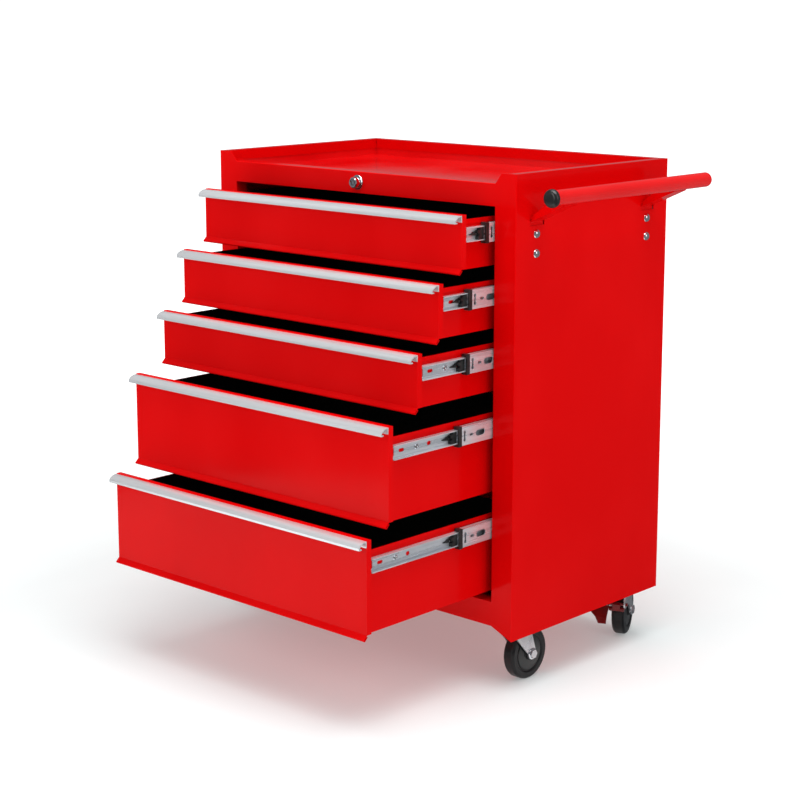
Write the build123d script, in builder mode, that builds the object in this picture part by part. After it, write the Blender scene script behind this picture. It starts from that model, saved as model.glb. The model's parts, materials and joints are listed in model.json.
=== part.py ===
from build123d import *
import os
from math import cos, radians, sin, sqrt

# ---------------------------------------------------------------------------------------------
# Rolling tool cart: a sheet-steel cabinet with a recessed top tray, five drawers on full-extension
# ball slides, a side push handle, a keyed lock with a lift bar, and four swivel casters.
# Lengths are in millimetres. While a piece is made, X is across the cabinet, -Y is the drawer side,
# Z is up from the floor, and the cabinet's centre stands over X = Y = 0. Every piece is then moved
# so that the origin lies on the floor under the middle of the whole cart as it stands.
# ---------------------------------------------------------------------------------------------

# Sheet metal
SHEET = 1.2
DRAWER_SHEET = 0.8
PLATE = 2.0
BEND_R = 1.2

# Cabinet
CABINET_W = 612.0
CABINET_D = 361.0
RIM_TOP_Z = 760.0
SKIRT_Z = 82.5
FLOOR_PAN_Z = 106.0
POST_W = 38.0
POST_RETURN = 22.0
OPENING_TOP_Z = 713.0
OPENING_BOTTOM_Z = 135.0
TOP_RAIL_TOP_Z = 745.0
LOW_RAIL_BOTTOM_Z = 98.5
RAIL_FLANGE = 20.0
RIM_FOLD_W = 13.0
RIM_FOLD_H = 16.0
RIM_CORNER_CUT = 12.0
RIM_CORNER_GAP = 0.5
TRAY_FLOOR_Z = 733.0
TRAY_UPSTAND = 20.0
LEDGE_D = 19.0
SKIRT_HEM_H = 12.0
REAR_FLANGE_W = 20.0
UPRIGHT_Y = 148.0
UPRIGHT_D = 26.0

HALF_W = CABINET_W / 2
HALF_D = CABINET_D / 2
FRONT_Y = -HALF_D
OPENING_HALF = HALF_W - POST_W

# Drawers, from the top one down: the top edge of each front, its height, and how far it stands
# open at rest, with how far its middle slide members stand out at rest.
SMALL_H = 83.5
LARGE_H = 142.0
DRAWER_TOPS = (706.5, 615.5, 524.5, 433.5, 284.0)
DRAWER_HEIGHTS = (SMALL_H, SMALL_H, SMALL_H, LARGE_H, LARGE_H)
DRAWER_OPEN = (68.0, 115.0, 158.0, 216.0, 259.0)
MIDDLE_OUT = (30.0, 65.0, 69.0, 85.0, 82.0)
FRONT_HALF = 266.0
FRONT_FOLD_D = 9.0
FRONT_TOP_FLANGE_H = 8.0
LIP_LENGTH = 8.0
LIP_TURN_R = 1.25
LIP_BACK = 7.0
BOX_HALF = 255.2
BOX_DEPTH = 330.0
BOX_LIFT = 5.0
SMALL_SIDE_DROP = 8.5
LARGE_SIDE_DROP = 19.0
SIDE_HEM_H = 6.5
MAT_THICK = 1.6
LATCH_OUT = 14.0
LATCH_TURN = 16.0
LATCH_W = 24.0

# Drawer pulls
PULL_THICK = 1.6
PULL_REACH = 14.5
PULL_DROP = 10.5
PULL_BACK_H = 9.0

# Ball slides: web and flanges of the three nested members, measured out from the drawer side
SLIDE_LENGTH = 340.0
SLIDE_INSET = 14.0
SLIDE_DROP = 21.0
SLIDE_SHEET = 1.2
INNER_FLANGE_X = 263.4
INNER_H = 20.0
MIDDLE_FLANGE_X = 257.0
MIDDLE_WEB_X = 265.8
MIDDLE_H = 27.0
OUTER_FLANGE_X = 257.5
OUTER_H = 35.0

# Push handle on the right side
HANDLE_OUT = 62.0
HANDLE_Z = 731.0
HANDLE_R = 11.0
HANDLE_WALL = 1.5
HANDLE_FRONT_Y = -178.0
HANDLE_REAR_Y = 188.0
HANDLE_CAP_R = 13.0
HANDLE_CAP_L = 8.0
HANDLE_CAP_DOME = 6.0
HANDLE_SPIGOT_L = 16.0
BRACKET_YS = (-134.0, 130.0)
BRACKET_W = 30.0
BRACKET_SLOT_Z = 690.0
BRACKET_SLOT_H = 9.0
BRACKET_BOLT_ZS = (673.5, 645.5)
BOLT_HEAD_R = 6.5
BOLT_HEAD_H = 3.6
BOLT_SHANK_R = 2.9
BOLT_HOLE_R = 3.1

# Lock in the top rail, its tail rod and crank, and the lift bar behind the drawers
LOCK_Z = 729.0
LOCK_R = 8.0
LOCK_OUT = 11.0
LOCK_BODY_L = 14.0
LOCK_NUT_R = 11.0
LOCK_NUT_T = 3.0
PLUG_R = 5.2
PLUG_CLEARANCE = 0.05
TAIL_R = 2.4
CRANK_R = 9.0
CRANK_START_DEG = -45.0
CRANK_Y = 171.9
CRANK_T = 1.6
CRANK_PIN_R = 1.6
BAR_Y = 172.8
BAR_T = 1.5
BAR_W = 22.0
BAR_X = 8.0
BAR_BOTTOM_Z = 228.0
BAR_HOOK_W = 12.0
BAR_HOOK_H = 15.0
BAR_GUIDE_ZS = (300.0, 440.0, 620.0)

# Casters
WHEEL_R = 40.0
WHEEL_W = 22.0
TREAD_ROUND = 6.0
CASTER_X = 270.0
CASTER_Y = 132.0
TRAIL = 28.0
AXLE_R = 4.0
AXLE_HEAD_R = 7.0
FORK_T = 2.5
FORK_GAP = 1.5
CROWN_Z = 91.0
CROWN_R = 25.0
CASTER_PLATE_T = 3.0
CASTER_PLATE_X = 60.0
CASTER_PLATE_Y = 88.0
CASTER_BOLT_X = 42.0
CASTER_BOLT_Y = 70.0
KINGPIN_R = 5.0
# Front left, front right, rear left, rear right: place and the way the wheel trails
CASTERS = (
    ("front_left", -1, -1, 0.0),
    ("front_right", 1, -1, 0.0),
    ("rear_left", -1, 1, -12.0),
    ("rear_right", 1, 1, 24.0),
)
PEDAL_T = 2.0
PEDAL_REACH = 40.0
PEDAL_INNER = 10.0
PEDAL_CORNER_Y = -34.3
PEDAL_PIN_R = 2.5
PEDAL_PIN_Y = -18.5
PEDAL_PIN_Z = 62.0

# The cart's own origin, from the reach of the handle, the lowest drawer pull, and the left rear
# caster's pedal and wheel
RIGHT_REACH = HALF_W + HANDLE_OUT + HANDLE_CAP_R
FRONT_REACH = HALF_D + DRAWER_OPEN[4] + PULL_REACH
REAR_TURN = radians(CASTERS[2][3])
LEFT_REACH = CASTER_X + PEDAL_REACH * cos(REAR_TURN) + abs(PEDAL_CORNER_Y * sin(REAR_TURN))
TREAD_HALF = WHEEL_W / 2 - TREAD_ROUND
REAR_REACH = CASTER_Y + (TRAIL + WHEEL_R) * cos(REAR_TURN) + TREAD_HALF * abs(sin(REAR_TURN))
SHIFT_X = -(RIGHT_REACH - LEFT_REACH) / 2
SHIFT_Y = (FRONT_REACH - REAR_REACH) / 2


def write_piece(piece, label):
    """Move a finished piece into the cart's frame, label it and write it."""
    placed = piece.moved(Location((SHIFT_X, SHIFT_Y, 0)))
    placed.label = label
    export_step(placed, f"parts/{label}.step")


def box_between(low, high, mode=Mode.ADD):
    """A box between two opposite corners, in the current part."""
    size = [b - a for a, b in zip(low, high)]
    centre = [(a + b) / 2 for a, b in zip(low, high)]
    with Locations(Vector(*centre)):
        Box(*size, mode=mode)


def plane_across(x, y, z):
    """A section plane facing +X: its first axis is +Y and its second is +Z."""
    return Plane(origin=(x, y, z), x_dir=(0, 1, 0), z_dir=(1, 0, 0))


def plane_along(x, y, z):
    """A section plane facing +Y: its first axis is -X and its second is +Z."""
    return Plane(origin=(x, y, z), x_dir=(-1, 0, 0), z_dir=(0, 1, 0))


# --- Cabinet panels ---------------------------------------------------------------------------

def side_panel():
    """The right side: web, front post with its bevelled head and foot, rim fold, hem, rear flange."""
    inner = HALF_W - SHEET
    post_in = HALF_W - POST_W
    with BuildPart() as panel:
        box_between((inner, -HALF_D, SKIRT_Z), (HALF_W, HALF_D, RIM_TOP_Z))
        with BuildSketch(plane_along(0, -HALF_D, 0)):
            with BuildLine():
                Polyline(
                    (-HALF_W, SKIRT_Z),
                    (-HALF_W, RIM_TOP_Z),
                    (-post_in - RIM_CORNER_CUT, RIM_TOP_Z),
                    (-post_in, TOP_RAIL_TOP_Z),
                    (-post_in, LOW_RAIL_BOTTOM_Z),
                    close=True,
                )
            make_face()
        extrude(amount=SHEET)
        # return of the post beside the drawer opening
        box_between(
            (post_in, -HALF_D, OPENING_BOTTOM_Z),
            (post_in + SHEET, -HALF_D + POST_RETURN, OPENING_TOP_Z),
        )
        # rim folded in and down over the tray's upstand
        fold_in = HALF_W - RIM_FOLD_W
        fold_rear = HALF_D - RIM_FOLD_W - RIM_CORNER_GAP
        box_between(
            (fold_in, -HALF_D, RIM_TOP_Z - SHEET),
            (inner, HALF_D - SHEET, RIM_TOP_Z),
        )
        box_between(
            (fold_in, -HALF_D + SHEET, RIM_TOP_Z - RIM_FOLD_H),
            (fold_in + SHEET, fold_rear, RIM_TOP_Z - SHEET),
        )
        # hem along the foot, and the flange that carries the back panel
        box_between(
            (inner - SHEET, -HALF_D + SHEET, SKIRT_Z),
            (inner, HALF_D - 2 * SHEET, SKIRT_Z + SKIRT_HEM_H),
        )
        box_between(
            (inner - REAR_FLANGE_W, HALF_D - 2 * SHEET, SKIRT_Z),
            (inner, HALF_D - SHEET, TRAY_FLOOR_Z - 2 * SHEET),
        )
        outer_edges = panel.edges().filter_by(Axis.Z).group_by(Axis.X)[-1].group_by(Axis.Y)[0]
        fillet(outer_edges, radius=SHEET * 0.9)
    return panel.part


def make_side_panels():
    with BuildPart() as left:
        mirror(side_panel(), about=Plane.YZ)
    write_piece(left.part, "side_panel_left")

    with BuildPart() as right:
        add(side_panel())
        for y in BRACKET_YS:
            slot_low = (HALF_W - 2 * SHEET, y - BRACKET_W / 2 - SHEET, BRACKET_SLOT_Z - BRACKET_SLOT_H / 2)
            slot_high = (HALF_W + SHEET, y + BRACKET_W / 2 + SHEET, BRACKET_SLOT_Z + BRACKET_SLOT_H / 2)
            box_between(slot_low, slot_high, mode=Mode.SUBTRACT)
            with BuildSketch(plane_across(HALF_W - 2 * SHEET, 0, 0)):
                with Locations(*[(y, z) for z in BRACKET_BOLT_ZS]):
                    Circle(BOLT_HOLE_R)
            extrude(amount=3 * SHEET, mode=Mode.SUBTRACT)
    write_piece(right.part, "side_panel_right")


def make_back_panel():
    half = HALF_W - SHEET
    fold_half = HALF_W - RIM_FOLD_W - RIM_CORNER_GAP
    fold_y = HALF_D - RIM_FOLD_W
    with BuildPart() as back:
        box_between((-half, HALF_D - SHEET, SKIRT_Z), (half, HALF_D, RIM_TOP_Z))
        box_between((-fold_half, fold_y, RIM_TOP_Z - SHEET), (fold_half, HALF_D - SHEET, RIM_TOP_Z))
        box_between(
            (-fold_half, fold_y, RIM_TOP_Z - RIM_FOLD_H),
            (fold_half, fold_y + SHEET, RIM_TOP_Z - SHEET),
        )
    write_piece(back.part, "back_panel")


def make_floor_pan():
    half = HALF_W - SHEET
    rear = HALF_D - 2 * SHEET
    front = -HALF_D + SHEET
    with BuildPart() as pan:
        box_between((-half, front, FLOOR_PAN_Z), (half, rear, FLOOR_PAN_Z + SHEET))
        for side in (-1, 1):
            edge = sorted((side * half, side * (half - SHEET)))
            box_between(
                (edge[0], front + POST_RETURN, FLOOR_PAN_Z + SHEET),
                (edge[1], rear, FLOOR_PAN_Z + SKIRT_HEM_H),
            )
        with BuildSketch(Plane.XY.offset(FLOOR_PAN_Z)):
            with Locations(*caster_bolt_points()):
                Circle(BOLT_HOLE_R)
        extrude(amount=SHEET, mode=Mode.SUBTRACT)
    write_piece(pan.part, "floor_pan")


def make_tray():
    half = HALF_W - RIM_FOLD_W + SHEET
    rear = HALF_D - RIM_FOLD_W + SHEET
    front = FRONT_Y + SHEET + LEDGE_D
    top = TRAY_FLOOR_Z - SHEET + TRAY_UPSTAND
    with BuildPart() as tray:
        box_between((-half, front, TRAY_FLOOR_Z - SHEET), (half, rear, TRAY_FLOOR_Z))
        for side in (-1, 1):
            edge = sorted((side * half, side * (half + SHEET)))
            box_between((edge[0], front, TRAY_FLOOR_Z - SHEET), (edge[1], rear + SHEET, top))
        box_between((-half, rear, TRAY_FLOOR_Z - SHEET), (half, rear + SHEET, top))
    write_piece(tray.part, "top_tray")


def make_rails():
    low = TRAY_FLOOR_Z - SHEET
    ledge_half = HALF_W - RIM_FOLD_W
    face_back = FRONT_Y + SHEET
    ledge_back = face_back + LEDGE_D
    with BuildPart() as top_rail:
        box_between((-OPENING_HALF, FRONT_Y, OPENING_TOP_Z), (OPENING_HALF, face_back, TOP_RAIL_TOP_Z))
        box_between(
            (-ledge_half, face_back, TOP_RAIL_TOP_Z - SHEET),
            (ledge_half, ledge_back, TOP_RAIL_TOP_Z),
        )
        box_between(
            (-ledge_half, ledge_back - SHEET, low),
            (ledge_half, ledge_back, TOP_RAIL_TOP_Z - SHEET),
        )
        box_between(
            (-OPENING_HALF, face_back, OPENING_TOP_Z),
            (OPENING_HALF, face_back + LOCK_BODY_L - PLATE, OPENING_TOP_Z + SHEET),
        )
        with BuildSketch(plane_along(0, FRONT_Y, LOCK_Z)):
            Circle(LOCK_R - 1)
        extrude(amount=SHEET, mode=Mode.SUBTRACT)
        top_edges = top_rail.edges().filter_by(Axis.X).group_by(Axis.Z)[-1].group_by(Axis.Y)[0]
        fillet(top_edges, radius=SHEET * 0.9)
    write_piece(top_rail.part, "front_top_rail")

    with BuildPart() as low_rail:
        box_between(
            (-OPENING_HALF, FRONT_Y, LOW_RAIL_BOTTOM_Z),
            (OPENING_HALF, face_back, OPENING_BOTTOM_Z),
        )
        box_between(
            (-OPENING_HALF, face_back, OPENING_BOTTOM_Z - SHEET),
            (OPENING_HALF, face_back + RAIL_FLANGE, OPENING_BOTTOM_Z),
        )
        box_between(
            (-OPENING_HALF, face_back, LOW_RAIL_BOTTOM_Z),
            (OPENING_HALF, face_back + RAIL_FLANGE / 4, LOW_RAIL_BOTTOM_Z + SHEET),
        )
    write_piece(low_rail.part, "front_bottom_rail")


def make_uprights():
    """Two channels inside the rear of the cabinet that carry the rear ends of the slides."""
    low = FLOOR_PAN_Z + SKIRT_HEM_H
    high = TRAY_FLOOR_Z - 3 * SHEET
    with BuildPart() as uprights:
        box_between(
            (OPENING_HALF, UPRIGHT_Y, low),
            (OPENING_HALF + SHEET, UPRIGHT_Y + UPRIGHT_D, high),
        )
        for y in (UPRIGHT_Y, UPRIGHT_Y + UPRIGHT_D - SHEET):
            box_between((OPENING_HALF + SHEET, y, low), (HALF_W - SHEET, y + SHEET, high))
        mirror(about=Plane.YZ)
    write_piece(uprights.part, "slide_uprights")


# --- Ball slides --------------------------------------------------------------------------------

def slide_height(index):
    """Height of a drawer's slides: a fixed drop below the top edge of the drawer's sides."""
    return DRAWER_TOPS[index] - side_drop(index) - SLIDE_DROP


def side_drop(index):
    """How far the sides of a drawer stop below the top edge of its front."""
    if DRAWER_HEIGHTS[index] == SMALL_H:
        return SMALL_SIDE_DROP
    return LARGE_SIDE_DROP


def channel(web_x, flange_x, height, y_front, z):
    """A lipless channel along Y: the outer face of its web and the free edge of its flanges."""
    away = 1 if flange_x > web_x else -1
    web = sorted((web_x, web_x + away * SLIDE_SHEET))
    flange = sorted((web_x, flange_x))
    box_between(
        (web[0], y_front, z - height / 2),
        (web[1], y_front + SLIDE_LENGTH, z + height / 2),
    )
    for sign in (-1, 1):
        edges = sorted((z + sign * height / 2, z + sign * (height / 2 - SLIDE_SHEET)))
        box_between(
            (flange[0], y_front, edges[0]),
            (flange[1], y_front + SLIDE_LENGTH, edges[1]),
        )


def cut_slots(x, y, z, length, height):
    """A round-ended slot through a slide web at x, centred at y and z."""
    with BuildSketch(plane_across(x - SLIDE_SHEET, y, z)) as slot:
        SlotOverall(length, height)
    extrude(slot.sketch, amount=3 * SLIDE_SHEET, mode=Mode.SUBTRACT)


def make_outer_members():
    with BuildPart() as members:
        for index in range(len(DRAWER_TOPS)):
            z = slide_height(index)
            channel(OPENING_HALF, OUTER_FLANGE_X, OUTER_H, FRONT_Y + SLIDE_INSET, z)
        mirror(about=Plane.YZ)
    write_piece(members.part, "slide_outer_members")


def make_middle_members(index):
    y_front = FRONT_Y + SLIDE_INSET - MIDDLE_OUT[index]
    z = slide_height(index)
    with BuildPart() as members:
        channel(MIDDLE_WEB_X, MIDDLE_FLANGE_X, MIDDLE_H, y_front, z)
        cut_slots(MIDDLE_WEB_X - SLIDE_SHEET, y_front + 46, z, 20, 9)
        cut_slots(MIDDLE_WEB_X - SLIDE_SHEET, y_front + 27, z, 8, 4)
        cut_slots(MIDDLE_WEB_X - SLIDE_SHEET, y_front + 120, z, 30, 6)
        cut_slots(MIDDLE_WEB_X - SLIDE_SHEET, y_front + SLIDE_LENGTH - 40, z, 30, 6)
        # window behind the stop at the front end, waisted in the middle
        with BuildSketch(plane_across(MIDDLE_WEB_X - 2 * SLIDE_SHEET, y_front + 12, z)):
            with Locations((0, 5.5), (0, -5.5)):
                Circle(2.6)
            Rectangle(3.2, 11)
        extrude(amount=3 * SLIDE_SHEET, mode=Mode.SUBTRACT)
        mirror(about=Plane.YZ)
    write_piece(members.part, f"slide_middle_{index + 1}")


def make_inner_members(index):
    y_front = FRONT_Y + SLIDE_INSET - DRAWER_OPEN[index]
    z = slide_height(index)
    with BuildPart() as members:
        channel(BOX_HALF, INNER_FLANGE_X, INNER_H, y_front, z)
        # open notch at the front end of the web, slots, and a screw hole further back
        box_between(
            (BOX_HALF - 1, y_front - 1, z - 5.5),
            (BOX_HALF + 2, y_front + 7, z + 5.5),
            mode=Mode.SUBTRACT,
        )
        cut_slots(BOX_HALF, y_front + 22, z, 11, 5)
        cut_slots(BOX_HALF, y_front + 78, z, 8, 6)
        cut_slots(BOX_HALF, y_front + SLIDE_LENGTH - 60, z, 11, 5)
        mirror(about=Plane.YZ)
    write_piece(members.part, f"slide_inner_{index + 1}")


# --- Drawers ------------------------------------------------------------------------------------

def make_drawer_front(index):
    """Folded sheet front: top channel, face, end returns, and a flared lip with an open hem."""
    top = DRAWER_TOPS[index]
    y_face = FRONT_Y - DRAWER_OPEN[index]
    half = DRAWER_SHEET / 2
    slope = 1 / sqrt(2)
    lip_low = 2 * LIP_TURN_R * slope + LIP_TURN_R * (1 - slope) + half
    face_low = -(DRAWER_HEIGHTS[index] - LIP_LENGTH * slope - lip_low)
    tip = Vector(half - LIP_LENGTH * slope, face_low - LIP_LENGTH * slope)
    turned = tip + Vector(2 * LIP_TURN_R * slope, -2 * LIP_TURN_R * slope)
    centre = (tip + turned) * 0.5
    lowest = centre + Vector(-LIP_TURN_R * slope, -LIP_TURN_R * slope)
    hem_end = turned + Vector(LIP_BACK * slope, LIP_BACK * slope)
    with BuildPart() as front:
        with BuildSketch(plane_across(-FRONT_HALF, y_face, top)):
            with BuildLine():
                FilletPolyline(
                    (FRONT_FOLD_D - half, -FRONT_TOP_FLANGE_H),
                    (FRONT_FOLD_D - half, -half),
                    (half, -half),
                    (half, face_low),
                    tip,
                    radius=BEND_R,
                )
                ThreePointArc(tip, lowest, turned)
                Line(turned, hem_end)
            trace(line_width=DRAWER_SHEET)
        extrude(amount=2 * FRONT_HALF)
        for side in (-1, 1):
            edge = sorted((side * FRONT_HALF, side * (FRONT_HALF - DRAWER_SHEET)))
            box_between(
                (edge[0], y_face + half, top + face_low),
                (edge[1], y_face + FRONT_FOLD_D, top - half),
            )
    write_piece(front.part, f"drawer_front_{index + 1}")


def make_drawer_pull(index):
    """Extruded pull: a flat back on the front's face and a convex grip curving out and down."""
    top = DRAWER_TOPS[index] - SHEET
    y_face = FRONT_Y - DRAWER_OPEN[index]
    half = PULL_THICK / 2
    with BuildPart() as pull:
        with BuildSketch(plane_across(-FRONT_HALF, y_face, top)):
            with BuildLine():
                Polyline((-half, -PULL_BACK_H), (-half, -half), (-3, -half))
                Spline(
                    (-3, -half),
                    (-9.0, -2.6),
                    (-PULL_REACH + half, -PULL_DROP + 3),
                    tangents=((-1, -0.1), (-0.3, -1)),
                )
                Line((-PULL_REACH + half, -PULL_DROP + 3), (-PULL_REACH + half, -PULL_DROP + half))
                Line((-PULL_REACH + half, -PULL_DROP + half), (-PULL_REACH + 5, -PULL_DROP + half))
            trace(line_width=PULL_THICK)
        extrude(amount=2 * FRONT_HALF)
    write_piece(pull.part, f"drawer_pull_{index + 1}")


def make_drawer_box(index):
    """Open-topped folded box, with hemmed sides and the catch that the lift bar holds."""
    top = DRAWER_TOPS[index] - side_drop(index)
    low = DRAWER_TOPS[index] - DRAWER_HEIGHTS[index] + BOX_LIFT
    front = FRONT_Y - DRAWER_OPEN[index] + FRONT_FOLD_D
    rear = FRONT_Y - DRAWER_OPEN[index] + BOX_DEPTH
    inner = BOX_HALF - DRAWER_SHEET
    with BuildPart() as box:
        box_between((-BOX_HALF, front, low), (BOX_HALF, rear, top))
        box_between(
            (-inner, front + DRAWER_SHEET, low + DRAWER_SHEET),
            (inner, rear - DRAWER_SHEET, top),
            mode=Mode.SUBTRACT,
        )
        for side in (-1, 1):
            hem = sorted((side * BOX_HALF, side * (BOX_HALF + DRAWER_SHEET)))
            box_between((hem[0], front, top - SIDE_HEM_H), (hem[1], rear, top))
        # catch: a tongue out of the rear edge with its end turned down
        catch = (BAR_X - LATCH_W / 2, BAR_X + LATCH_W / 2)
        box_between((catch[0], rear, top - DRAWER_SHEET), (catch[1], rear + LATCH_OUT, top))
        box_between(
            (catch[0], rear + LATCH_OUT - DRAWER_SHEET, top - LATCH_TURN),
            (catch[1], rear + LATCH_OUT, top),
        )
    write_piece(box.part, f"drawer_box_{index + 1}")


def make_drawer_mat(index):
    low = DRAWER_TOPS[index] - DRAWER_HEIGHTS[index] + BOX_LIFT + DRAWER_SHEET
    front = FRONT_Y - DRAWER_OPEN[index] + FRONT_FOLD_D + DRAWER_SHEET
    rear = FRONT_Y - DRAWER_OPEN[index] + BOX_DEPTH - DRAWER_SHEET
    inner = BOX_HALF - DRAWER_SHEET
    with BuildPart() as mat:
        box_between((-inner, front, low), (inner, rear, low + MAT_THICK))
    write_piece(mat.part, f"drawer_mat_{index + 1}")


# --- Handle -------------------------------------------------------------------------------------

def make_handle():
    x = HALF_W + HANDLE_OUT
    with BuildPart() as tube:
        with BuildSketch(plane_along(x, HANDLE_FRONT_Y, HANDLE_Z)):
            Circle(HANDLE_R)
            Circle(HANDLE_R - HANDLE_WALL, mode=Mode.SUBTRACT)
        extrude(amount=HANDLE_REAR_Y - HANDLE_FRONT_Y)
        # the rear end is closed and domed
        with BuildSketch(plane_along(x, HANDLE_REAR_Y, HANDLE_Z)):
            Circle(HANDLE_R)
        extrude(amount=HANDLE_CAP_L)
        fillet(tube.edges().group_by(Axis.Y)[-1], radius=HANDLE_CAP_DOME)
    write_piece(tube.part, "handle_tube")

    # domed plug in the front end: a cap over the tube with a spigot inside it
    with BuildPart() as cap:
        with BuildSketch(plane_along(x, HANDLE_FRONT_Y - HANDLE_CAP_L, HANDLE_Z)):
            Circle(HANDLE_CAP_R)
        extrude(amount=HANDLE_CAP_L)
        fillet(cap.edges().group_by(Axis.Y)[0], radius=HANDLE_CAP_DOME)
        with BuildSketch(plane_along(x, HANDLE_FRONT_Y, HANDLE_Z)):
            Circle(HANDLE_R - HANDLE_WALL)
        extrude(amount=HANDLE_SPIGOT_L)
    write_piece(cap.part, "handle_end_cap")


def make_brackets():
    """Each bracket: a leg bolted inside the panel, and a gusseted arm out through the slot."""
    inner = HALF_W - SHEET
    tube_x = HALF_W + HANDLE_OUT
    under_z = HANDLE_Z - HANDLE_R
    arm_low_z = BRACKET_SLOT_Z + BRACKET_SLOT_H / 2 - 0.5 - PLATE
    arm_end_x = tube_x - 3
    leg_low = BRACKET_BOLT_ZS[1] - 14
    with BuildPart() as brackets:
        for y in BRACKET_YS:
            half = BRACKET_W / 2
            box_between(
                (inner - PLATE, y - half, leg_low),
                (inner, y + half, arm_low_z + PLATE),
            )
            with BuildSketch(plane_along(0, y - half, 0)):
                with BuildLine():
                    Polyline(
                        (-inner + PLATE, arm_low_z),
                        (-HALF_W - 1, arm_low_z),
                        (-arm_end_x, under_z - PLATE),
                        (-arm_end_x, under_z),
                        (-HALF_W - 1, arm_low_z + PLATE),
                        (-inner + PLATE, arm_low_z + PLATE),
                        close=True,
                    )
                make_face()
            extrude(amount=BRACKET_W)
            for start in (y - half, y + half - PLATE):
                with BuildSketch(plane_along(0, start, 0)):
                    with BuildLine():
                        Polyline(
                            (-HALF_W - 2, arm_low_z + PLATE + 5),
                            (-tube_x + HANDLE_R + 3, HANDLE_Z + 2),
                            (-arm_end_x, under_z - 1),
                            (-HALF_W - 2, arm_low_z + 1),
                            close=True,
                        )
                    make_face()
                    with Locations((-tube_x, HANDLE_Z)):
                        Circle(HANDLE_R, mode=Mode.SUBTRACT)
                extrude(amount=PLATE)
            with BuildSketch(plane_across(inner - PLATE, 0, 0)):
                with Locations(*[(y, z) for z in BRACKET_BOLT_ZS]):
                    Circle(BOLT_HOLE_R)
            extrude(amount=PLATE, mode=Mode.SUBTRACT)
    write_piece(brackets.part, "handle_brackets")


def make_handle_bolts():
    """Dome-head bolts with a cross recess, and their nuts inside the panel."""
    inner = HALF_W - SHEET - PLATE
    with BuildPart() as bolts:
        for y in BRACKET_YS:
            for z in BRACKET_BOLT_ZS:
                with BuildSketch(plane_across(inner - 6, y, z)):
                    Circle(BOLT_SHANK_R)
                extrude(amount=HALF_W - inner + 6)
                with BuildSketch(Plane(origin=(HALF_W, y, z), x_dir=(1, 0, 0), z_dir=(0, -1, 0))):
                    with BuildLine():
                        Line((0, 0), (0, BOLT_HEAD_R))
                        ThreePointArc(
                            (0, BOLT_HEAD_R),
                            (BOLT_HEAD_H * 0.78, BOLT_HEAD_R * 0.62),
                            (BOLT_HEAD_H, 0),
                        )
                        Line((BOLT_HEAD_H, 0), (0, 0))
                    make_face()
                revolve(axis=Axis((HALF_W, y, z), (1, 0, 0)))
                for size in ((2.0, 6.4, 1.3), (2.0, 1.3, 6.4)):
                    with Locations((HALF_W + BOLT_HEAD_H, y, z)):
                        Box(*size, mode=Mode.SUBTRACT)
                with BuildSketch(plane_across(inner - 5, y, z)):
                    RegularPolygon(radius=5.8, side_count=6)
                extrude(amount=5)
    write_piece(bolts.part, "handle_bolts")


# --- Lock ---------------------------------------------------------------------------------------

def make_lock():
    face_y = FRONT_Y - LOCK_OUT
    rear_y = FRONT_Y + SHEET + LOCK_BODY_L
    bore = PLUG_R + PLUG_CLEARANCE
    with BuildPart() as barrel:
        with BuildSketch(plane_along(0, face_y, LOCK_Z)):
            Circle(LOCK_R)
        extrude(amount=LOCK_OUT)
        with BuildSketch(plane_along(0, FRONT_Y, LOCK_Z)):
            Circle(LOCK_R - 1)
        extrude(amount=SHEET + LOCK_BODY_L)
        with BuildSketch(plane_along(0, FRONT_Y + SHEET, LOCK_Z)):
            RegularPolygon(radius=LOCK_NUT_R, side_count=6)
        extrude(amount=LOCK_NUT_T)
        with BuildSketch(plane_along(0, face_y, LOCK_Z)):
            Circle(bore)
        extrude(amount=rear_y - face_y, mode=Mode.SUBTRACT)
        rim = barrel.edges().filter_by(GeomType.CIRCLE).group_by(Axis.Y)[0].sort_by(SortBy.RADIUS)[-1]
        chamfer(rim, length=1.2)
    write_piece(barrel.part, "lock_barrel")

    # key plug with its ring keyway round a centre post
    with BuildPart() as plug:
        with BuildSketch(plane_along(0, face_y + 1, LOCK_Z)):
            Circle(PLUG_R)
        extrude(amount=rear_y - face_y)
        with BuildSketch(plane_along(0, face_y + 1, LOCK_Z)):
            Circle(PLUG_R - 1)
            Circle(PLUG_R - 2.6, mode=Mode.SUBTRACT)
            with Locations((0, PLUG_R - 1.2)):
                Rectangle(1.6, 2.0)
        extrude(amount=7, mode=Mode.SUBTRACT)
    write_piece(plug.part, "lock_plug")

    start = radians(CRANK_START_DEG)
    pin_x = CRANK_R * cos(start)
    pin_z = LOCK_Z + CRANK_R * sin(start)
    with BuildPart() as tail:
        with BuildSketch(plane_along(0, rear_y + 1, LOCK_Z)):
            Circle(TAIL_R)
        extrude(amount=CRANK_Y - rear_y - 1)
        with BuildSketch(plane_along(0, CRANK_Y - CRANK_T, LOCK_Z)):
            Circle(TAIL_R + 0.1)
            with Locations((-pin_x, pin_z - LOCK_Z)):
                Circle(CRANK_PIN_R + 0.4)
            with BuildLine():
                Line((0, 0), (-pin_x, pin_z - LOCK_Z))
            trace(line_width=3.6)
        extrude(amount=CRANK_T)
        with BuildSketch(plane_along(pin_x, CRANK_Y, pin_z)):
            Circle(CRANK_PIN_R)
        extrude(amount=BAR_Y + BAR_T + 1 - CRANK_Y)
    write_piece(tail.part, "lock_tail_rod")


def latch_heights():
    """Underside of each drawer's turned-down catch, which the bar's hooks rise past."""
    heights = []
    for index in range(len(DRAWER_TOPS)):
        heights.append(DRAWER_TOPS[index] - side_drop(index) - LATCH_TURN)
    return heights


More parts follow.
